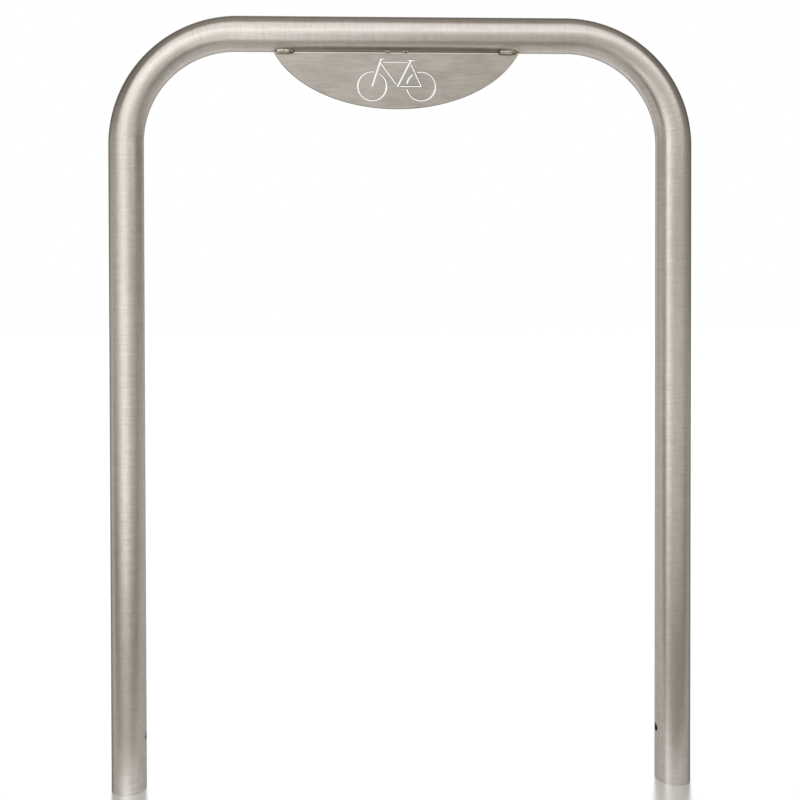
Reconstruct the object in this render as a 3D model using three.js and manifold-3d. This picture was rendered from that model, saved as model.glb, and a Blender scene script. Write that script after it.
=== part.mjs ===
// Hoop bike rack: one bent stainless tube, an oval-edged sign plate hung under its top run, and the welds between them.
// Millimetres, +Z up. X runs along the hoop and -Y is the front. The origin is midway between the legs, at their cut ends.

import * as THREE from 'three';
import { mergeVertices } from 'three/addons/utils/BufferGeometryUtils.js';
import Module from 'manifold-3d';

// Hoop tube
const tubeDiameter = 50;
const tubeWall = 3;
const legSpacing = 800;
const hoopHeight = 1120;
const bendRadius = 160;
const bendFlattening = 2.5;

// Hole near the foot of each leg, drilled through both walls towards the other leg
const anchorHoleDiameter = 11;
const anchorHoleHeight = 76;

// Sign plate: a slice of an ellipse, hung under the top run and a little to the left of its middle
const plateThickness = 4;
const plateWidth = 358;
const plateDepth = 82;
const plateOvalHalfHeight = 120;
const plateOffset = -8;
const rootGap = 0.5;

// Bicycle figure cut through the plate, with its heights measured up from the hubs
const strokeWidth = 2.3;
const wheelRadius = 21;
const wheelbase = 71.5;
const hubDepth = 49;
const headOffset = 22.7;
const handlebarHeight = 39.8;
const handlebarLength = 4.6;
const barHeight = 35.2;
const bottomBracketOffset = 1.4;
const saddleOffset = 21;
const saddleHeight = 38;
const saddleLength = 9;
const bridgeLength = 4.3;

// Welds between the tube and the plate, with the size of each leg and the bulge between them
const beadLength = 30;
const beadLegOnPlate = 4.3;
const beadLegOnTube = 6.3;
const beadCrown = 1.2;
const beadEndInset = 1.5;
const tackLength = 11;
const tackLegOnPlate = 2.2;
const tackLegOnTube = 3.6;
const tackCrown = 0.7;
const tackSpacing = 26;
const weldClearance = 0.3;

// Overrun of every cutting tool past the surface that it cuts
const cutOverrun = 5;

// Facets
const tubeSegments = 48;
const bendSteps = 16;
const ovalSteps = 72;
const holeSegments = 24;
const roundEndSteps = 6;
const ringSteps = 36;
const weldSegments = 48;

// Sizes that follow from the ones above
const tubeRadius = tubeDiameter / 2;
const boreRadius = tubeRadius - tubeWall;
const topAxisHeight = hoopHeight - tubeRadius;
const legX = legSpacing / 2;
const bendX = legX - bendRadius;
const bendZ = topAxisHeight - bendRadius;
const plateTop = topAxisHeight - tubeRadius - rootGap;
const plateFace = plateThickness / 2;
const strokeRadius = strokeWidth / 2;

const wasm = await Module();
wasm.setup();

function toSolid(geometry) {
  const bare = geometry.clone();
  bare.deleteAttribute('normal');
  bare.deleteAttribute('uv');
  const merged = mergeVertices(bare);
  return new wasm.Manifold(new wasm.Mesh({
    numProp: 3,
    vertProperties: Float32Array.from(merged.attributes.position.array),
    triVerts: Uint32Array.from(merged.index.array),
  }));
}

function toGeometry(solid) {
  const mesh = solid.getMesh();
  const geometry = new THREE.BufferGeometry();
  geometry.setAttribute('position', new THREE.BufferAttribute(Float32Array.from(mesh.vertProperties), 3));
  geometry.setIndex(new THREE.BufferAttribute(Uint32Array.from(mesh.triVerts), 1));
  geometry.computeVertexNormals();
  return geometry;
}

// A path of straight runs and bends, whose evenly spaced parameters fall mostly in the bends
class BentPath extends THREE.Curve {
  constructor(runs) {
    super();
    this.runs = runs;
    this.steps = runs.reduce((sum, run) => sum + run.steps, 0);
  }

  locate(t) {
    let along = t * this.steps;
    for (const run of this.runs) {
      if (along <= run.steps) return [run, along / run.steps];
      along -= run.steps;
    }
    return [this.runs.at(-1), 1];
  }

  getPoint(t, target = new THREE.Vector3()) {
    const [run, share] = this.locate(t);
    return target.copy(run.point(share));
  }

  getTangent(t, target = new THREE.Vector3()) {
    const [run, share] = this.locate(t);
    return target.copy(run.tangent(share));
  }

  getUtoTmapping(u) {
    return u;
  }
}

function straightRun(from, to) {
  const line = new THREE.LineCurve3(from, to);
  return { steps: 1, point: (share) => line.getPoint(share), tangent: () => line.getTangent(0) };
}

// A quarter bend in the XZ plane, turning clockwise seen from the front
function bendRun(centre, startAngle) {
  const direction = (share, turned) => {
    const angle = startAngle - share * Math.PI / 2 - turned;
    return new THREE.Vector3(Math.cos(angle), 0, Math.sin(angle));
  };
  return {
    steps: bendSteps,
    point: (share) => direction(share, 0).multiplyScalar(bendRadius).add(centre),
    tangent: (share) => direction(share, Math.PI / 2),
  };
}

function hoopPath() {
  const at = (x, z) => new THREE.Vector3(x, 0, z);
  return new BentPath([
    straightRun(at(-legX, 0), at(-legX, bendZ)),
    bendRun(at(-bendX, bendZ), Math.PI),
    straightRun(at(-bendX, topAxisHeight), at(bendX, topAxisHeight)),
    bendRun(at(bendX, bendZ), Math.PI / 2),
    straightRun(at(legX, bendZ), at(legX, 0)),
  ]);
}

// Points along a circle or an ellipse
function arc(centre, radiusX, radiusY, from, to, steps) {
  return Array.from({ length: steps + 1 }, (_, i) => {
    const angle = from + (to - from) * i / steps;
    return new THREE.Vector2(centre.x + radiusX * Math.cos(angle), centre.y + radiusY * Math.sin(angle));
  });
}

function circleOutline(ShapeClass, radius) {
  const points = arc(new THREE.Vector2(), radius, radius, 0, 2 * Math.PI, tubeSegments);
  return new ShapeClass(points.slice(0, -1));
}

// Bending squeezes the tube in the plane of the hoop and widens it across, most of all in the middle of the bend
function flattenBends(geometry) {
  const position = geometry.attributes.position;
  for (let i = 0; i < position.count; i++) {
    const side = Math.sign(position.getX(i));
    const outward = side * position.getX(i) - bendX;
    const upward = position.getZ(i) - bendZ;
    if (outward <= 0 || upward <= 0) continue;
    const angle = Math.atan2(upward, outward);
    const squeeze = bendFlattening / tubeDiameter * Math.sin(2 * angle);
    const reach = bendRadius + (Math.hypot(outward, upward) - bendRadius) * (1 - squeeze);
    position.setXYZ(i, side * (bendX + reach * Math.cos(angle)), position.getY(i) * (1 + squeeze),
      bendZ + reach * Math.sin(angle));
  }
}

function hoopTube() {
  const section = circleOutline(THREE.Shape, tubeRadius);
  section.holes.push(circleOutline(THREE.Path, boreRadius));
  const path = hoopPath();
  const bentTube = new THREE.ExtrudeGeometry(section, { extrudePath: path, steps: path.steps });
  flattenBends(bentTube);
  let tube = toSolid(bentTube);
  for (const side of [-1, 1]) {
    const drill = new THREE.CylinderGeometry(
      anchorHoleDiameter / 2, anchorHoleDiameter / 2, tubeDiameter + 2 * cutOverrun, holeSegments);
    drill.rotateZ(Math.PI / 2);
    drill.translate(side * legX, 0, anchorHoleHeight);
    tube = tube.subtract(toSolid(drill));
  }
  return toGeometry(tube);
}

// Flat outlines lie in the plane of the hoop, with y up, measured from the middle of the plate's top edge

function plateOutline() {
  const ovalCentre = new THREE.Vector2(0, plateOvalHalfHeight - plateDepth);
  const tipAngle = Math.asin(ovalCentre.y / plateOvalHalfHeight);
  const ovalHalfWidth = plateWidth / 2 / Math.cos(tipAngle);
  return new THREE.Shape(
    arc(ovalCentre, ovalHalfWidth, plateOvalHalfHeight, tipAngle - Math.PI, -tipAngle, ovalSteps));
}

function roundEnd(centre, startAngle) {
  return arc(centre, strokeRadius, strokeRadius, startAngle, startAngle + Math.PI, roundEndSteps);
}

function barStroke(from, to) {
  const angle = to.clone().sub(from).angle();
  return new THREE.Shape([...roundEnd(to, angle - Math.PI / 2), ...roundEnd(from, angle + Math.PI / 2)]);
}

// A stroke along a wheel's rim, anticlockwise from one angle to the other
function rimStroke(hub, from, to) {
  const outer = wheelRadius + strokeRadius;
  const inner = wheelRadius - strokeRadius;
  const [start, end] = arc(hub, wheelRadius, wheelRadius, from, to, 1);
  return new THREE.Shape([
    ...arc(hub, outer, outer, from, to, ringSteps),
    ...roundEnd(end, to).slice(1, -1),
    ...arc(hub, inner, inner, to, from, ringSteps),
    ...roundEnd(start, from + Math.PI).slice(1, -1),
  ]);
}

// The point of a line that lies one bridge before its end
function bridgeBefore(end, from) {
  return from.clone().sub(end).setLength(bridgeLength).add(end);
}

// The strokes of the bicycle. The bridges between them hold the figure's islands in the plate.
function bicycleStrokes() {
  const at = (x, height) => new THREE.Vector2(x, height - hubDepth);
  const frontHub = at(-wheelbase / 2, 0);
  const rearHub = at(wheelbase / 2, 0);
  const bottomBracket = at(bottomBracketOffset, 0);
  const handlebarStem = at(-headOffset, handlebarHeight);
  const handlebarEnd = at(handlebarLength - headOffset, handlebarHeight);
  const saddle = at(saddleOffset, saddleHeight);
  const saddleReach = new THREE.Vector2(saddleLength / 2, 0);
  const forkHead = frontHub.clone().lerp(handlebarStem, barHeight / handlebarHeight);
  const seatHead = bottomBracket.clone().lerp(saddle, barHeight / saddleHeight);
  const bridgeAngle = bridgeLength / wheelRadius;
  const forkAngle = forkHead.clone().sub(frontHub).angle();
  const stayAngle = seatHead.clone().sub(rearHub).angle();
  return [
    barStroke(frontHub, handlebarStem),
    barStroke(handlebarStem, handlebarEnd),
    barStroke(forkHead, bridgeBefore(bottomBracket, forkHead)),
    barStroke(bridgeBefore(forkHead, seatHead), bridgeBefore(seatHead, forkHead)),
    barStroke(bottomBracket, saddle),
    barStroke(saddle.clone().sub(saddleReach), saddle.clone().add(saddleReach)),
    barStroke(rearHub, bridgeBefore(seatHead, rearHub)),
    barStroke(rearHub, bridgeBefore(bottomBracket, rearHub)),
    rimStroke(frontHub, forkAngle + bridgeAngle, forkAngle - bridgeAngle + 2 * Math.PI),
    rimStroke(rearHub, stayAngle + bridgeAngle, Math.PI - bridgeAngle),
    rimStroke(rearHub, Math.PI + bridgeAngle, stayAngle - bridgeAngle + 2 * Math.PI),
  ];
}

function extrudeOutline(outline, thickness) {
  const geometry = new THREE.ExtrudeGeometry(outline, { depth: thickness, bevelEnabled: false });
  geometry.translate(0, 0, -thickness / 2);
  geometry.rotateX(Math.PI / 2);
  geometry.translate(plateOffset, 0, plateTop);
  return toSolid(geometry);
}

function signPlate() {
  let plate = extrudeOutline(plateOutline(), plateThickness);
  for (const stroke of bicycleStrokes()) {
    plate = plate.subtract(extrudeOutline(stroke, plateThickness + 2 * cutOverrun));
  }
  return toGeometry(plate);
}

// A bar along X whose ends are rounded over their own radius, or over half a short bar
function roundEndedBar(length, radius) {
  const endRun = Math.min(radius, length / 2);
  const steps = weldSegments / 4;
  const profile = [
    ...arc(new THREE.Vector2(0, endRun - length / 2), radius, endRun, -Math.PI / 2, 0, steps),
    ...arc(new THREE.Vector2(0, length / 2 - endRun), radius, endRun, 0, Math.PI / 2, steps),
  ];
  return new THREE.LatheGeometry(profile, weldSegments).rotateZ(Math.PI / 2);
}

// A fillet weld in the corner under the tube: a bar through both of its toes, trimmed to the plate's face and to the tube.
// In its section x runs across the hoop and y up.
function filletWeld(middleX, side, length, legOnPlate, legOnTube, crown) {
  const plateToe = new THREE.Vector2(plateFace, plateTop - legOnPlate);
  const toeReach = plateFace + legOnTube;
  const tubeToe = new THREE.Vector2(toeReach, topAxisHeight - Math.sqrt(tubeRadius ** 2 - toeReach ** 2));
  const chord = tubeToe.clone().sub(plateToe);
  const radius = (chord.lengthSq() / 4 + crown ** 2) / (2 * crown);
  const inward = new THREE.Vector2(-chord.y, chord.x).normalize();
  const centre = plateToe.clone().lerp(tubeToe, 0.5).addScaledVector(inward, radius - crown);

  const bar = roundEndedBar(length, radius);
  bar.translate(middleX, side * centre.x, centre.y);

  const reach = 2 * (radius + tubeDiameter);
  const plateSide = new THREE.BoxGeometry(reach, reach, reach);
  plateSide.translate(middleX, side * (plateFace + weldClearance - reach / 2), topAxisHeight);
  const trimRadius = tubeRadius + weldClearance;
  const tubeSide = new THREE.CylinderGeometry(trimRadius, trimRadius, reach, 2 * tubeSegments);
  tubeSide.rotateZ(Math.PI / 2);
  tubeSide.translate(middleX, 0, topAxisHeight);
  return toGeometry(toSolid(bar).subtract(toSolid(plateSide)).subtract(toSolid(tubeSide)));
}

function endBead(end, side) {
  const middle = plateWidth / 2 - beadEndInset - beadLength / 2;
  return filletWeld(plateOffset + end * middle, side, beadLength, beadLegOnPlate, beadLegOnTube, beadCrown);
}

function middleTack(end, side) {
  return filletWeld(plateOffset + end * tackSpacing / 2, side, tackLength, tackLegOnPlate, tackLegOnTube, tackCrown);
}

const rack = new THREE.Group();

function addPiece(name, geometry, color, roughness) {
  const mesh = new THREE.Mesh(geometry, new THREE.MeshStandardMaterial({ color, roughness, metalness: 1 }));
  mesh.name = name;
  rack.add(mesh);
}

addPiece('hoop_tube', hoopTube(), '#b1a79d', 0.34);
addPiece('sign_plate', signPlate(), '#b4aaa0', 0.4);
for (const [endName, end] of [['left', -1], ['right', 1]]) {
  for (const [sideName, side] of [['front', -1], ['back', 1]]) {
    addPiece(`end_bead_${endName}_${sideName}`, endBead(end, side), '#9a9086', 0.3);
    addPiece(`middle_tack_${endName}_${sideName}`, middleTack(end, side), '#9a9086', 0.3);
  }
}

export default rack;
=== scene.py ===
"""Hoop bike rack in satin stainless steel.

A bent tube, a sign plate under its top run and the welds between them.
Metres, +Z up, X along the hoop, -Y the front. The origin is midway between the legs, at their cut ends.
"""

import math

import bmesh
import bpy
from mathutils import Matrix, Vector


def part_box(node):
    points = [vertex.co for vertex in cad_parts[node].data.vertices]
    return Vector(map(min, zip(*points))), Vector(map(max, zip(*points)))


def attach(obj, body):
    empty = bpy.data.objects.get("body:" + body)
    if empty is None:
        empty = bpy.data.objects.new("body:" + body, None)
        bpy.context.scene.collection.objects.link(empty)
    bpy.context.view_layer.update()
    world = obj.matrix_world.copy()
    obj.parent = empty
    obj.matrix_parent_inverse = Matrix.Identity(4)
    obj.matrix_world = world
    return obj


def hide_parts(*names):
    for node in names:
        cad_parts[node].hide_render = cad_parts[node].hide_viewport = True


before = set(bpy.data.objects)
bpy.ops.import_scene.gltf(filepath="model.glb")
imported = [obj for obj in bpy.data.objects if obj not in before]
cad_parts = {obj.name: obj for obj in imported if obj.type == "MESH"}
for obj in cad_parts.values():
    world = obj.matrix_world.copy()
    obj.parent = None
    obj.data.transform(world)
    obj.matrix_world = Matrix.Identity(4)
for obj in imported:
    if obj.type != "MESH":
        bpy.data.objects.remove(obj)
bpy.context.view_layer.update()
scene = bpy.context.scene

# Hoop tube
TUBE_RADIUS = 0.025
TUBE_WALL = 0.003
LEG_X = 0.4
HOOP_HEIGHT = 1.12
TOP_Z = HOOP_HEIGHT - TUBE_RADIUS
BEND_RADIUS = 0.16
BEND_SQUEEZE = 0.0025
HOLE_RADIUS = 0.0055
HOLE_HEIGHT = 0.076
BORE_BELOW = 0.005
DRILL_LENGTH = 2.4
TUBE_SIDES = 96
TUBE_STEPS = 480
BORE_STEPS = 240
BEND_STEPS = 160
DRILL_SIDES = 40

# Sign plate: a slice of an oval, seen from the front
PLATE_FACE = 0.002
PLATE_TOP = 1.0695
PLATE_MIDDLE = -0.008
PLATE_DEPTH = 0.082
PLATE_HALF_WIDTH = 0.179
PLATE_EDGE = 0.0005
OVAL_HALF_HEIGHT = 0.12
OVAL_CENTRE = PLATE_TOP + OVAL_HALF_HEIGHT - PLATE_DEPTH
OVAL_HALF_WIDTH = PLATE_HALF_WIDTH / math.cos(math.asin((OVAL_CENTRE - PLATE_TOP) / OVAL_HALF_HEIGHT))
SAME_PLACE = 1e-5
ON_OVAL = 0.002

# Welds, in the corner between the plate's face and the round of the tube
ROOT_Z = TOP_Z - math.sqrt(TUBE_RADIUS**2 - PLATE_FACE**2)
ROOT_ANGLE = math.asin(PLATE_FACE / TUBE_RADIUS)
BEAD_MIDDLES = (PLATE_MIDDLE - 0.162, PLATE_MIDDLE + 0.1638)
WELD_SIDES = 33
RIPPLE_BOW = 0.45

# Humps and hollows along a weld: how far in from its end they are, and how wide
LUMP_IN = 0.0035
LUMP_SPREAD = 0.0025
CRATER_IN = 0.005
CRATER_SPREAD = 0.0026
# Where the painted shade in the end crater sits, and how wide
CRATER_SHADE_IN = 0.0045
CRATER_SHADE_SPREAD = 0.0034
WAIST_SPREAD = 0.0012

# Edges that turn by more than this, in radians, stay sharp
CORNER_ANGLE = 0.6


class Value:
    """A number carried by a socket, so that sums on it read as plain sums."""

    def __init__(self, graph, socket):
        self.graph = graph
        self.socket = socket

    def __add__(self, other):
        return self.graph.math("ADD", self, other)

    def __radd__(self, other):
        return self.graph.math("ADD", other, self)

    def __sub__(self, other):
        return self.graph.math("SUBTRACT", self, other)

    def __rsub__(self, other):
        return self.graph.math("SUBTRACT", other, self)

    def __mul__(self, other):
        return self.graph.math("MULTIPLY", self, other)

    def __rmul__(self, other):
        return self.graph.math("MULTIPLY", other, self)

    def __truediv__(self, other):
        return self.graph.math("DIVIDE", self, other)

    def __rtruediv__(self, other):
        return self.graph.math("DIVIDE", other, self)

    def __neg__(self):
        return self.graph.math("MULTIPLY", self, -1.0)

    def __pow__(self, other):
        return self.graph.math("POWER", self, other)

    def __abs__(self):
        return self.graph.math("ABSOLUTE", self)


class Graph:
    """A tree of nodes, for a material, for the world or for geometry."""

    def __init__(self, tree):
        self.tree = tree
        tree.nodes.clear()

    def node(self, kind, settings=None, sockets=None, out=0):
        """Adds a node: its settings first, then the values or links of its sockets. Returns one output."""
        node = self.tree.nodes.new(kind)
        for name, value in (settings or {}).items():
            setattr(node, name, value)
        for key, value in (sockets or {}).items():
            several = value if isinstance(value, list) else [value]
            for item in several:
                if isinstance(item, Value):
                    self.tree.links.new(item.socket, node.inputs[key])
                else:
                    node.inputs[key].default_value = item
        return Value(self, node.outputs[out]) if len(node.outputs) else node

    def math(self, operation, *values):
        return self.node("ShaderNodeMath", {"operation": operation}, dict(enumerate(values)))

    def vector(self, x, y, z):
        return self.node("ShaderNodeCombineXYZ", None, {0: x, 1: y, 2: z})

    def split(self, vector):
        first = self.node("ShaderNodeSeparateXYZ", None, {0: vector})
        return [Value(self, socket) for socket in first.socket.node.outputs]

    def ramp01(self, value, low, high):
        """Rises smoothly from 0 at low to 1 at high."""
        return self.node("ShaderNodeMapRange", {"interpolation_type": "SMOOTHSTEP"},
                         {0: value, 1: low, 2: high, 3: 0.0, 4: 1.0})

    def noise(self, place, scale, detail=2.0, roughness=0.5):
        return self.node("ShaderNodeTexNoise", {"noise_dimensions": "3D"},
                         {"Vector": place, "Scale": scale, "Detail": detail, "Roughness": roughness})

    def mix(self, factor, first, second):
        """Mixes two colours."""
        return self.node("ShaderNodeMix", {"data_type": "RGBA", "blend_type": "MIX"},
                         {0: factor, 6: colour4(first), 7: colour4(second)}, out=2)

    def own_place(self):
        """The place of the shaded point, in metres, in its object's own coordinates."""
        return self.node("ShaderNodeTexCoord", out=3)

    def stored(self, name):
        """The vector that a mesh keeps on its points under this name."""
        return self.node("ShaderNodeAttribute", {"attribute_name": name}, out=1)

    def relief(self, height, distance, strength=1.0):
        return self.node("ShaderNodeBump", None,
                         {"Strength": strength, "Distance": distance, "Height": height})


def colour4(colour):
    """Adds full opacity to a plain colour, and passes a linked one on."""
    return (*colour, 1.0) if isinstance(colour, tuple) and len(colour) == 3 else colour


class GeometryGraph(Graph):
    """A geometry tree with named inputs. It makes pieces of its one kind in any size."""

    KINDS = {float: "NodeSocketFloat", int: "NodeSocketInt"}

    def __init__(self, name, inputs):
        super().__init__(bpy.data.node_groups.new(name, "GeometryNodeTree"))
        self.identifiers = {}
        self.tree.interface.new_socket("Geometry", in_out="OUTPUT", socket_type="NodeSocketGeometry")
        for label, kind in inputs.items():
            socket = self.tree.interface.new_socket(label, in_out="INPUT", socket_type=self.KINDS[kind])
            self.identifiers[label] = socket.identifier
        source = self.tree.nodes.new("NodeGroupInput")
        self.given = {label: Value(self, source.outputs[label]) for label in inputs}

    def move(self, geometry, place):
        return self.node("GeometryNodeSetPosition", None, {"Geometry": geometry, "Position": place})

    def store(self, geometry, name, value):
        """Keeps a vector on every point of the mesh, for its material."""
        return self.node("GeometryNodeStoreNamedAttribute", {"data_type": "FLOAT_VECTOR", "domain": "POINT"},
                         {"Geometry": geometry, "Name": name, "Value": value})

    def smooth(self, geometry):
        return self.node("GeometryNodeSetShadeSmooth", {"domain": "FACE"},
                         {"Geometry": geometry, "Shade Smooth": True})

    def finish(self, geometry, material):
        solid = self.node("GeometryNodeRealizeInstances", None, {0: geometry})
        solid = self.node("GeometryNodeSetMaterial", None, {"Geometry": solid, "Material": material})
        sink = self.tree.nodes.new("NodeGroupOutput")
        self.tree.links.new(solid.socket, sink.inputs[0])

    def piece(self, name, values):
        """Runs the tree with these sizes. Returns the result as an object with a plain mesh."""
        carrier = bpy.data.objects.new(name + "_maker", bpy.data.meshes.new(name + "_maker"))
        scene.collection.objects.link(carrier)
        modifier = carrier.modifiers.new("maker", "NODES")
        modifier.node_group = self.tree
        for label, value in values.items():
            modifier[self.identifiers[label]] = value
        evaluated = carrier.evaluated_get(bpy.context.evaluated_depsgraph_get())
        mesh = bpy.data.meshes.new_from_object(evaluated)
        mesh.name = name
        carrier.modifiers.remove(modifier)
        bpy.data.objects.remove(carrier)
        return new_object(name, mesh)


def new_object(name, mesh):
    made = bpy.data.objects.new(name, mesh)
    scene.collection.objects.link(made)
    return made


def turn_faces_out(piece):
    work = bmesh.new()
    work.from_mesh(piece.data)
    bmesh.ops.recalc_face_normals(work, faces=work.faces)
    work.to_mesh(piece.data)
    work.free()


# Camera: the photograph's viewing angle, close to the hoop and a little above its middle
CAMERA_PLACE = (-0.11667, -1.3, 0.69439)
CAMERA_YAW = 0.0306
CAMERA_PITCH = 0.011
CAMERA_ROLL = -0.0023
LENS_LENGTH = 40.1
LENS_SHIFT_X = 0.0625
LENS_SHIFT_Y = -0.1


def make_camera():
    lens = bpy.data.cameras.new("camera")
    lens.sensor_width = 36.0
    lens.lens = LENS_LENGTH
    lens.shift_x = LENS_SHIFT_X
    lens.shift_y = LENS_SHIFT_Y
    lens.clip_start = 0.01
    lens.clip_end = 100.0
    camera = new_object("camera", lens)
    yaw = Matrix.Rotation(-CAMERA_YAW, 4, "Z")
    pitch = Matrix.Rotation(math.pi / 2 - CAMERA_PITCH, 4, "X")
    roll = Matrix.Rotation(CAMERA_ROLL, 4, "Z")
    camera.matrix_world = Matrix.Translation(CAMERA_PLACE) @ yaw @ pitch @ roll
    scene.camera = camera


make_camera()
scene.view_settings.view_transform = "Standard"

# Colours of the metal
TUBE_DARK = (0.65, 0.616, 0.58)
TUBE_LIGHT = (0.745, 0.716, 0.688)
PLATE_DARK = (0.375, 0.349, 0.321)
PLATE_LIGHT = (0.515, 0.485, 0.452)
# Painted highlight along the plate's top edge
PAINTED_EDGE_HIGHLIGHT = (0.86, 0.82, 0.77)
WELD_BRIGHT = (0.9, 0.87, 0.82)
WELD_BROWN = (0.64, 0.57, 0.48)
# Painted shade in the weld's crater and hollows
WELD_HOLLOW_SHADE = (0.24, 0.2, 0.155)
# Painted shade along the weld's toes and ends, with some dark heat scale
WELD_TOE_SHADE = (0.07, 0.055, 0.04)
HEAT_TONE = (0.4, 0.31, 0.2)
EDGE_TONE = (0.3, 0.28, 0.26)

# Reach of the heat tint round the middle of an end bead, and where it fades out, in parts of that reach
HEAT_ACROSS = 0.021
HEAT_UP = 0.0085
HEAT_FADE = (0.55, 1.25)

# Heights of the relief in the metal, and the depth below the plate's top at which its painted edge highlight
# begins and is full
TUBE_RELIEF = 0.00012
PLATE_RELIEF = 0.0001
WELD_RELIEF = 0.0001
EDGE_HIGHLIGHT_FROM = 0.002
EDGE_HIGHLIGHT_FULL = 0.0014


def new_material(name):
    material = bpy.data.materials.new(name)
    material.use_nodes = True
    return material, Graph(material.node_tree)


def surface(graph, colour, roughness, normal):
    """Ends a material of bare metal in one shader. The edge tone keeps grazing reflections down."""
    shader = graph.node("ShaderNodeBsdfPrincipled", None, {
        "Base Color": colour, "Roughness": roughness, "Normal": normal, "Metallic": 1.0,
        "Specular Tint": colour4(EDGE_TONE)})
    graph.node("ShaderNodeOutputMaterial", None, {"Surface": shader})


def weld_heat(graph, x, z):
    """How near a point of the front or back is to the end beads: 1 beside a bead, 0 away from it."""
    heat = 0.0
    for bead_x in BEAD_MIDDLES:
        across = (x - bead_x) / HEAT_ACROSS
        up = (z - PLATE_TOP) / HEAT_UP
        reach = graph.math("SQRT", across * across + up * up)
        heat = heat + (1.0 - graph.ramp01(reach, *HEAT_FADE))
    return heat


def make_tube_material():
    """Satin tube: fine rings and soft bands round it, faint streaks along it, straw tint at the welds."""
    material, graph = new_material("satin_stainless_tube")
    along, across, depth = graph.split(graph.stored("grain"))
    rings = graph.noise(graph.vector(along * 200.0, across, depth), 30.0, 2.0, 0.6)
    streaks = graph.noise(graph.vector(along * 0.08, across, depth), 420.0, 3.0, 0.6)
    cloud = graph.noise(graph.vector(along * 0.4, across, depth), 16.0, 4.0, 0.6)
    patches = graph.noise(graph.vector(along, across, depth), 60.0, 3.0, 0.55)
    bands = graph.noise(graph.vector(along * 7.0, across, depth), 36.0, 3.0, 0.65)
    roughness = 0.15 + 0.03 * cloud + 0.035 * streaks
    shade = graph.ramp01(cloud * 0.2 + streaks * 0.3 + patches * 0.15 + bands * 0.35, 0.36, 0.62)
    colour = graph.mix(shade, TUBE_DARK, TUBE_LIGHT)
    x, _, z = graph.split(graph.own_place())
    heat = weld_heat(graph, x, z) * graph.ramp01(patches, 0.25, 0.6)
    colour = graph.mix(heat * 0.55, colour, HEAT_TONE)
    surface(graph, colour, roughness, graph.relief(rings, TUBE_RELIEF))
    return material


def make_plate_material():
    """Plate brushed from end to end, with faint stains and a painted highlight along its top edge."""
    material, graph = new_material("brushed_stainless_plate")
    x, y, z = graph.split(graph.own_place())
    lines = graph.noise(graph.vector(x, y * 20.0, z * 60.0), 30.0, 2.0, 0.6)
    scratches = graph.noise(graph.vector(x, y * 10.0, z * 22.0), 36.0, 3.0, 0.65)
    cloud = graph.noise(graph.vector(x, y, z * 2.0), 30.0, 4.0, 0.6)
    stains = graph.noise(graph.vector(x * 0.8, y, z * 1.6), 14.0, 2.0, 0.5)
    roughness = 0.28 + 0.08 * cloud + 0.06 * scratches
    shade = graph.ramp01(cloud * 0.35 + scratches * 0.4 + stains * 0.25, 0.36, 0.64)
    colour = graph.mix(shade, PLATE_DARK, PLATE_LIGHT)
    heat = weld_heat(graph, x, z) * graph.ramp01(cloud, 0.3, 0.6)
    colour = graph.mix(heat * 0.5, colour, HEAT_TONE)
    # Painted highlight: the plate turns light just below its top, as if its edge caught the light
    edge_highlight = graph.ramp01(z, PLATE_TOP - EDGE_HIGHLIGHT_FROM, PLATE_TOP - EDGE_HIGHLIGHT_FULL)
    colour = graph.mix(edge_highlight, colour, PAINTED_EDGE_HIGHLIGHT)
    surface(graph, colour, roughness, graph.relief(lines, PLATE_RELIEF))
    return material


def make_weld_material():
    """Bright weld metal with brown spots, with painted shade in its hollows, and almost black along its toes
    and ends: painted shade in the undercuts, with some dark heat scale.
    """
    material, graph = new_material("weld_metal")
    place = graph.own_place()
    along, across, hollow_shade = graph.split(graph.stored("weld_run"))
    cloud = graph.noise(place, 500.0, 3.0, 0.6)
    spots = graph.noise(place, 260.0, 2.0, 0.5)
    colour = graph.mix(graph.ramp01(spots, 0.35, 0.7), WELD_BRIGHT, WELD_BROWN)
    # Painted shade in the hollows, mottled by the spots
    colour = graph.mix(hollow_shade * graph.ramp01(spots, 0.3, 0.55), colour, WELD_HOLLOW_SHADE)
    # Painted shade toward the toes and the ends of the weld
    toe_shade = graph.ramp01(abs(across), 0.7, 0.92)
    end = graph.ramp01(abs(along), 0.84, 0.96)
    colour = graph.mix(graph.math("MAXIMUM", toe_shade, end) * 0.92, colour, WELD_TOE_SHADE)
    roughness = 0.12 + 0.14 * cloud
    surface(graph, colour, roughness, graph.relief(cloud, WELD_RELIEF, 0.6))
    return material


TUBE_FINISH = make_tube_material()
PLATE_FINISH = make_plate_material()
WELD_FINISH = make_weld_material()


# Bent tube
def hoop_path(graph, foot, steps):
    """The tube's axis, from foot to foot, as a chain of short straight steps."""
    given = graph.given
    index = graph.node("GeometryNodeInputIndex")
    right = graph.math("GREATER_THAN", index, 1.5)
    raised = graph.math("LESS_THAN", abs(index - 1.5), 1.0)
    x = given["Leg X"] * (right * 2.0 - 1.0)
    z = given["Top Z"] * raised + (1.0 - raised) * foot
    line = graph.node("GeometryNodeMeshLine", None, {"Count": 4})
    line = graph.move(line, graph.vector(x, 0.0, z))
    path = graph.node("GeometryNodeMeshToCurve", None, {"Mesh": line})
    path = graph.node("GeometryNodeFilletCurve", {"mode": "POLY"},
                      {"Curve": path, "Count": BEND_STEPS, "Radius": given["Bend Radius"]})
    return graph.node("GeometryNodeResampleCurve", {"mode": "COUNT"}, {"Curve": path, "Count": steps})


def sweep(graph, path, radius, sides):
    """A round bar of this radius along the path, closed at both ends."""
    ring = graph.node("GeometryNodeCurvePrimitiveCircle", None, {"Resolution": sides, "Radius": radius})
    return graph.node("GeometryNodeCurveToMesh", None,
                      {"Curve": path, "Profile Curve": ring, "Fill Caps": True})


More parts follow.
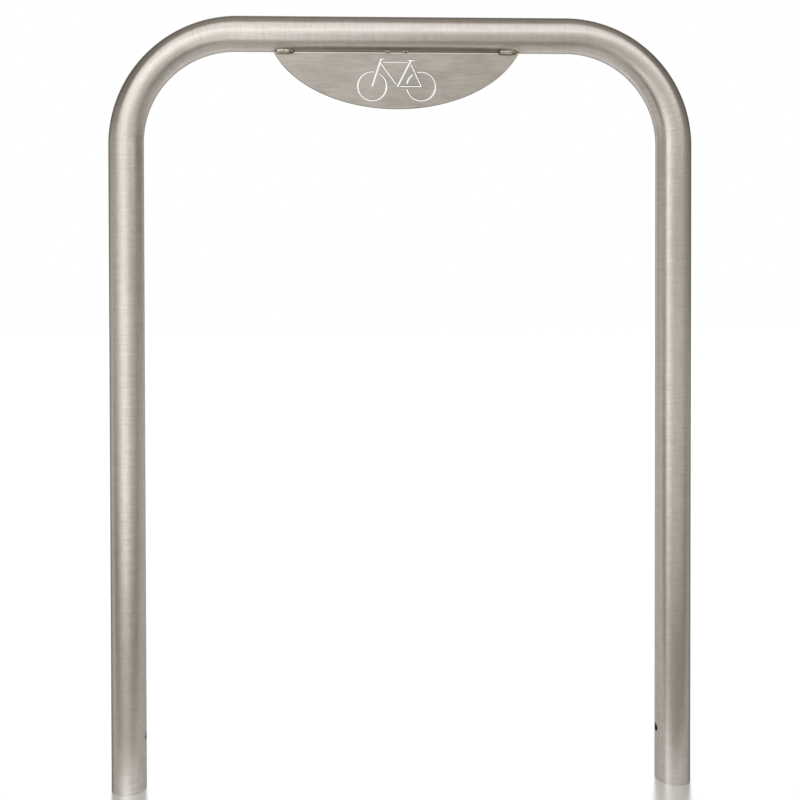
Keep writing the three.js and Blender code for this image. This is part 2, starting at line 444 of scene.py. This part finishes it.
def cut_tube(graph):
    """The bar of the hoop, less its bore and the hole through each foot."""
    given = graph.given
    outside = sweep(graph, hoop_path(graph, 0.0, given["Steps"]), given["Tube Radius"], given["Sides"])
    bore_path = hoop_path(graph, -BORE_BELOW, BORE_STEPS)
    bore = sweep(graph, bore_path, given["Tube Radius"] - given["Wall"], given["Sides"])
    drill = graph.node("GeometryNodeMeshCylinder", None, {
        "Vertices": DRILL_SIDES, "Radius": given["Hole Radius"],
        "Depth": given["Tube Radius"] * DRILL_LENGTH})
    drills = []
    for side in (-1.0, 1.0):
        drills.append(graph.node("GeometryNodeTransform", None, {
            "Geometry": drill, "Rotation": (0.0, math.pi / 2, 0.0),
            "Translation": graph.vector(given["Leg X"] * side, 0.0, given["Hole Height"])}))
    return graph.node("GeometryNodeMeshBoolean", {"operation": "DIFFERENCE", "solver": "MANIFOLD"},
                      {"Mesh 1": outside, "Mesh 2": [bore, *drills]})


def squeeze_bends(graph, tube):
    """Stores each point's place along the tube and in its section, then squeezes the bends."""
    given = graph.given
    x, y, z = graph.split(graph.node("GeometryNodeInputPosition"))
    side = graph.math("SIGN", x)
    bend_x = given["Leg X"] - given["Bend Radius"]
    bend_z = given["Top Z"] - given["Bend Radius"]
    outward = abs(x) - bend_x
    upward = z - bend_z
    out_part = graph.math("MAXIMUM", outward, 0.0)
    up_part = graph.math("MAXIMUM", upward, 0.0)
    in_rest = graph.math("MINIMUM", outward, 0.0)
    down_rest = graph.math("MINIMUM", upward, 0.0)
    angle = graph.math("ARCTAN2", up_part, out_part)
    reach = graph.math("SQRT", out_part * out_part + up_part * up_part)
    across = reach - given["Bend Radius"]
    from_middle = bend_x + given["Bend Radius"] * (math.pi / 2 - angle) + in_rest - down_rest
    tube = graph.store(tube, "grain", graph.vector(side * from_middle, across, y))
    squeeze = given["Bend Squeeze"] / (given["Tube Radius"] * 2.0) * graph.math("SINE", angle * 2.0)
    reach = given["Bend Radius"] + across * (1.0 - squeeze)
    new_x = side * (bend_x + in_rest + reach * graph.math("COSINE", angle))
    new_z = bend_z + down_rest + reach * graph.math("SINE", angle)
    return graph.move(tube, graph.vector(new_x, y * (1.0 + squeeze), new_z))


def make_tube():
    graph = GeometryGraph("bent_tube", {
        "Leg X": float, "Top Z": float, "Bend Radius": float, "Tube Radius": float, "Wall": float,
        "Bend Squeeze": float, "Hole Radius": float, "Hole Height": float, "Sides": int, "Steps": int})
    tube = graph.smooth(squeeze_bends(graph, cut_tube(graph)))
    corner = graph.math("GREATER_THAN", graph.node("GeometryNodeInputMeshEdgeAngle"), CORNER_ANGLE)
    tube = graph.node("GeometryNodeSetShadeSmooth", {"domain": "EDGE"},
                      {"Geometry": tube, "Selection": corner, "Shade Smooth": False})
    graph.finish(tube, TUBE_FINISH)
    return graph.piece("bent_tube", {
        "Leg X": LEG_X, "Top Z": TOP_Z, "Bend Radius": BEND_RADIUS, "Tube Radius": TUBE_RADIUS,
        "Wall": TUBE_WALL, "Bend Squeeze": BEND_SQUEEZE, "Hole Radius": HOLE_RADIUS,
        "Hole Height": HOLE_HEIGHT, "Sides": TUBE_SIDES, "Steps": TUBE_STEPS})


bent_tube = make_tube()
turn_faces_out(bent_tube)
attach(bent_tube, "root")
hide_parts("hoop_tube")


# Sign plate, with the sharp edges of its outline eased
def on_outline(point):
    """True for a point on the plate's straight top or on its oval edge."""
    if abs(point.z - PLATE_TOP) < SAME_PLACE:
        return True
    across = (point.x - PLATE_MIDDLE) / OVAL_HALF_WIDTH
    up = (point.z - OVAL_CENTRE) / OVAL_HALF_HEIGHT
    return abs(math.hypot(across, up) - 1.0) < ON_OVAL


def outline_edge(edge):
    """True for an edge that runs round the plate, on its front or back face."""
    start, end = (vertex.co for vertex in edge.verts)
    if abs(abs(start.y) - PLATE_FACE) > SAME_PLACE or abs(start.y - end.y) > 1e-6:
        return False
    if len(edge.link_faces) != 2 or edge.calc_face_angle() < 1.0:
        return False
    return on_outline(start) and on_outline(end)


def make_plate():
    """The plate of the frame in larger flat faces, with eased edges."""
    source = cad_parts["sign_plate"].data
    work = bmesh.new()
    corners = [work.verts.new(vertex.co) for vertex in source.vertices]
    for polygon in source.polygons:
        work.faces.new([corners[index] for index in polygon.vertices])
    bmesh.ops.remove_doubles(work, verts=work.verts, dist=1e-6)
    bmesh.ops.dissolve_limit(work, angle_limit=0.002, verts=work.verts, edges=work.edges)
    edges = [edge for edge in work.edges if outline_edge(edge)]
    bmesh.ops.bevel(work, geom=edges, offset=PLATE_EDGE, segments=3, profile=0.5, affect="EDGES")
    bmesh.ops.recalc_face_normals(work, faces=work.faces)
    mesh = bpy.data.meshes.new("eased_plate")
    work.to_mesh(mesh)
    work.free()
    mesh.materials.append(PLATE_FINISH)
    for polygon in mesh.polygons:
        polygon.use_smooth = True
    mesh.set_sharp_from_angle(angle=CORNER_ANGLE)
    plate = new_object("eased_plate", mesh)
    weighted = plate.modifiers.new("flat_faces", "WEIGHTED_NORMAL")
    weighted.keep_sharp = True
    return plate


eased_plate = make_plate()
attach(eased_plate, "root")
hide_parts("sign_plate")


# Welds
def make_weld_graph():
    """A weld as a flattened bar with rounded ends, whose open side has ripples, a lump, hollows and pits."""
    graph = GeometryGraph("weld_run", {
        "Middle": float, "Side": float, "Length": float, "Out": float, "Up": float, "Tilt": float,
        "Half Width": float, "Half Height": float, "Ripple Pitch": float, "Ripple Height": float,
        "Start Lump": float, "Crater": float, "Waist": float, "Roughness": float, "Toe Shade": float,
        "Stations": int})
    given = graph.given
    grid = graph.node("GeometryNodeMeshGrid", None, {
        "Size X": 1.0, "Size Y": 1.0, "Vertices X": given["Stations"], "Vertices Y": WELD_SIDES})
    x, y, _ = graph.split(graph.node("GeometryNodeInputPosition"))
    station = x * 2.0
    turn = (y + 0.5) * (2.0 * math.pi)
    swell = graph.math("SQRT", graph.math("MAXIMUM", 1.0 - abs(station) ** 3.0, 0.0))
    side_part = graph.math("COSINE", turn)
    top_part = graph.math("SINE", turn)
    open_side = graph.math("MAXIMUM", top_part, 0.0) * swell
    along = given["Length"] * x
    end = given["Length"] * 0.5

    def hump(middle, spread):
        away = (along - middle) / spread
        return graph.math("EXPONENT", -(away * away))

    phase = along / given["Ripple Pitch"] - side_part * side_part * RIPPLE_BOW
    ripple = given["Ripple Height"] * graph.math("COSINE", phase * (2.0 * math.pi))
    lump = given["Start Lump"] * hump(-(end - LUMP_IN), LUMP_SPREAD)
    crater = given["Crater"] * hump(end - CRATER_IN, CRATER_SPREAD)
    waist = given["Waist"] * hump(0.0, WAIST_SPREAD)
    pit_place = graph.vector(along + given["Middle"] * 3.0, side_part * given["Half Width"],
                             given["Side"] * 0.1)
    pits = given["Roughness"] * (graph.noise(pit_place, 420.0, 2.0, 0.5) - 0.5)
    lift = (ripple + lump - crater - waist + pits) * open_side

    wide = given["Half Width"] * swell * side_part
    high = given["Half Height"] * swell * top_part + lift
    lean = graph.math("COSINE", given["Tilt"])
    rise = graph.math("SINE", given["Tilt"])
    out = given["Out"] + wide * lean + high * rise
    up = given["Up"] + wide * rise - high * lean
    place = graph.vector(given["Middle"] + along, given["Side"] * out, up)

    # Painted shade in the end crater and in the waist between the tacks, for the weld's material
    crater_shade = (hump(end - CRATER_SHADE_IN, CRATER_SHADE_SPREAD)
                   * graph.math("MINIMUM", given["Crater"] * 1500.0, 1.0))
    waist_shade = hump(0.0, WAIST_SPREAD) * graph.math("MINIMUM", given["Waist"] * 1000.0, 1.0)
    # How far the painted shade at the toes and ends reaches along and across the weld
    toe_shade = given["Toe Shade"]
    weld_run = graph.vector(station * toe_shade, side_part * toe_shade, crater_shade + waist_shade)
    run = graph.move(graph.store(grid, "weld_run", weld_run), place)
    run = graph.node("GeometryNodeMergeByDistance", None, {"Geometry": run, "Distance": 0.00001})
    graph.finish(graph.smooth(run), WELD_FINISH)
    return graph


def weld_section(leg_on_plate, leg_on_tube, crown, sink):
    """Middle, tilt and half sizes of the round bar that shows as a fillet of these legs."""
    toe_on_plate = Vector((PLATE_FACE, ROOT_Z - leg_on_plate))
    angle = ROOT_ANGLE + leg_on_tube / TUBE_RADIUS
    toe_on_tube = Vector((TUBE_RADIUS * math.sin(angle), TOP_Z - TUBE_RADIUS * math.cos(angle)))
    face = toe_on_tube - toe_on_plate
    tilt = math.atan2(face.y, face.x)
    middle = (toe_on_plate + toe_on_tube) / 2 - sink * Vector((math.sin(tilt), -math.cos(tilt)))
    half_height = sink + crown
    half_width = face.length / 2 / math.sqrt(1 - (sink / half_height) ** 2)
    return {"Out": middle.x, "Up": middle.y, "Tilt": tilt,
            "Half Width": half_width, "Half Height": half_height}


weld_graph = make_weld_graph()
END_BEAD = dict(weld_section(0.0043, 0.0063, 0.0012, 0.0015), **{
    "Ripple Pitch": 0.0019, "Ripple Height": 0.00016, "Start Lump": 0.0005, "Crater": 0.0008,
    "Waist": 0.0, "Roughness": 0.0007, "Toe Shade": 1.0, "Stations": 161})
MIDDLE_TACK = dict(weld_section(0.0022, 0.0036, 0.0007, 0.0009), **{
    "Ripple Pitch": 0.0017, "Ripple Height": 0.00008, "Start Lump": 0.0001, "Crater": 0.0,
    "Waist": 0.0007, "Roughness": 0.0003, "Toe Shade": 0.72, "Stations": 73})
for weld_name, sizes in (("end_bead", END_BEAD), ("middle_tack", MIDDLE_TACK)):
    for hand in ("left", "right"):
        for face_name, side in (("front", -1.0), ("back", 1.0)):
            node_name = f"{weld_name}_{hand}_{face_name}"
            low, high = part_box(node_name)
            weld = weld_graph.piece("rippled_" + node_name, dict(
                sizes, **{"Middle": (low.x + high.x) / 2, "Side": side, "Length": high.x - low.x}))
            turn_faces_out(weld)
            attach(weld, "root")
            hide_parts(node_name)


# Stage
def new_sheet(name, corners, material):
    """One flat sheet, made of these four corners."""
    mesh = bpy.data.meshes.new(name)
    mesh.from_pydata(corners, [], [(0, 1, 2, 3)])
    mesh.materials.append(material)
    return new_object(name, mesh)


# Floor. The ranges are places on it, in metres, over which a tone or a glow comes in.
FLOOR_REACH = 30
FLOOR_COLOUR = 0.95
FRONT_FLOOR_COLOUR = 0.75
FLOOR_TONE = (1.01, 0.99, 0.93)
FLOOR_METAL = 0.78
FLOOR_ROUGHNESS = 0.4
BEHIND_ROUGHNESS = 0.14
FLOOR_GLOW = 0.22
MIDDLE_FLOOR_GLOW = 0.15
FAR_FLOOR_GLOW = 0.16
BEHIND_RANGE = (-0.2, -0.05)
MIDDLE_RANGE = (0.6, 1.1)
FAR_RANGE = (3.0, 7.0)


def make_floor():
    """A pale satin floor that mirrors the white wall behind the hoop. It glows there, and again in front."""
    material, graph = new_material("pale_floor")
    x, y, _ = graph.split(graph.own_place())
    behind = graph.ramp01(y + CAMERA_YAW * x, *BEHIND_RANGE)
    middle = graph.ramp01(-y, *MIDDLE_RANGE)
    far = graph.ramp01(-y, *FAR_RANGE)
    front_colour = tuple(FRONT_FLOOR_COLOUR * part for part in FLOOR_TONE)
    colour = graph.mix(behind, front_colour, (FLOOR_COLOUR, FLOOR_COLOUR, FLOOR_COLOUR))
    glow = behind * FLOOR_GLOW + middle * MIDDLE_FLOOR_GLOW + far * FAR_FLOOR_GLOW
    shader = graph.node("ShaderNodeBsdfPrincipled", None, {
        "Base Color": colour, "Roughness": FLOOR_ROUGHNESS - BEHIND_ROUGHNESS * behind,
        "Metallic": FLOOR_METAL, "Emission Color": graph.vector(glow, glow, glow),
        "Emission Strength": 1.0})
    graph.node("ShaderNodeOutputMaterial", None, {"Surface": shader})
    floor = new_sheet("floor", [
        (-FLOOR_REACH, -FLOOR_REACH, 0), (FLOOR_REACH, -FLOOR_REACH, 0),
        (FLOOR_REACH, FLOOR_REACH, 0), (-FLOOR_REACH, FLOOR_REACH, 0)], material)


# World. The ranges are directions: the wall's left and right by their slope, its front by how far back.
ROOM = 0.2
ROOM_TOP = 0.15
ROOM_TONE = (1.06, 0.98, 0.85)
LOW_BAND = 0.3
LOW_ROUND = 0.12
LOW_FRONT = 0.15
LOW_LEFT = 0.25
WALL_LEFT = (-0.68, -0.48)
WALL_RIGHT = (-0.92, -0.7)
WALL_FRONT = (0.6, 0.7)


def make_world():
    """A warm grey room, brighter near the ground and to the left, with a white wall behind the hoop."""
    world = bpy.data.worlds.new("studio")
    world.use_nodes = True
    scene.world = world
    graph = Graph(world.node_tree)
    x, y, z = graph.split(graph.node("ShaderNodeTexCoord", out=0))
    height = z / LOW_BAND
    band = graph.math("EXPONENT", -(height * height))
    front = graph.math("MAXIMUM", -y, 0.0) * LOW_FRONT
    left = graph.math("MAXIMUM", -x, 0.0) * LOW_LEFT
    grey = ROOM + ROOM_TOP * z ** 4.0 + band * (LOW_ROUND + front + left)
    slope = x / graph.math("MAXIMUM", y, 0.05)
    wall = (graph.ramp01(slope, *WALL_LEFT) * graph.ramp01(-slope, *WALL_RIGHT)
            * graph.ramp01(y, *WALL_FRONT))
    room = graph.vector(*(grey * part for part in ROOM_TONE))
    colour = graph.mix(wall, room, (1.0, 1.0, 1.0))
    shader = graph.node("ShaderNodeBackground", None, {"Color": colour, "Strength": 1.0})
    graph.node("ShaderNodeOutputWorld", None, {"Surface": shader})


# Light panel. The ranges are places on it, in metres, over which its light comes in or fades.
PANEL_Y = -0.71
PANEL_HALF_WIDTH = 1.5
PANEL_BOTTOM = 0.01
PANEL_HEAD = 3.0
PANEL_LOW = 0.14
PANEL_HIGH = 0.82
PANEL_TOP = 0.42
PANEL_STRIP = 0.58
STRIP_X = -0.44
STRIP_LEFT = 0.45
STRIP_RIGHT = 0.33
SIDE_RANGE = (0.9, PANEL_HALF_WIDTH)
HIGH_RANGE = (1.03, 1.33)
TOP_RANGE = (1.5, PANEL_HEAD)
STRIP_RANGE = (1.05, 1.5)
FOOT_RANGE = (PANEL_BOTTOM, 0.09)


def make_panel():
    """A large soft light in front of the hoop: bright above, with a soft upright strip to the left."""
    material, graph = new_material("light_panel")
    x, _, z = graph.split(graph.own_place())
    sides = 1.0 - graph.ramp01(abs(x), *SIDE_RANGE)
    high = (PANEL_LOW + (PANEL_HIGH - PANEL_LOW) * graph.ramp01(z, *HIGH_RANGE)
            - (PANEL_HIGH - PANEL_TOP) * graph.ramp01(z, *TOP_RANGE)) * sides
    to_left = graph.math("MINIMUM", x - STRIP_X, 0.0) / STRIP_LEFT
    to_right = graph.math("MAXIMUM", x - STRIP_X, 0.0) / STRIP_RIGHT
    strip = graph.math("EXPONENT", -(to_left * to_left + to_right * to_right)) * PANEL_STRIP
    strip = strip * (1.0 - graph.ramp01(z, *STRIP_RANGE))
    glow = (high + strip) * graph.ramp01(z, *FOOT_RANGE)
    light = graph.node("ShaderNodeEmission", None,
                       {"Color": graph.vector(glow, glow, glow), "Strength": 1.0})
    clear = graph.node("ShaderNodeBsdfTransparent")
    both = graph.node("ShaderNodeAddShader", None, {0: light, 1: clear})
    graph.node("ShaderNodeOutputMaterial", None, {"Surface": both})
    panel = new_sheet("light_panel", [
        (-PANEL_HALF_WIDTH, PANEL_Y, PANEL_HEAD), (PANEL_HALF_WIDTH, PANEL_Y, PANEL_HEAD),
        (PANEL_HALF_WIDTH, PANEL_Y, PANEL_BOTTOM), (-PANEL_HALF_WIDTH, PANEL_Y, PANEL_BOTTOM)], material)
    panel.visible_camera = False


make_floor()
make_world()
make_panel()
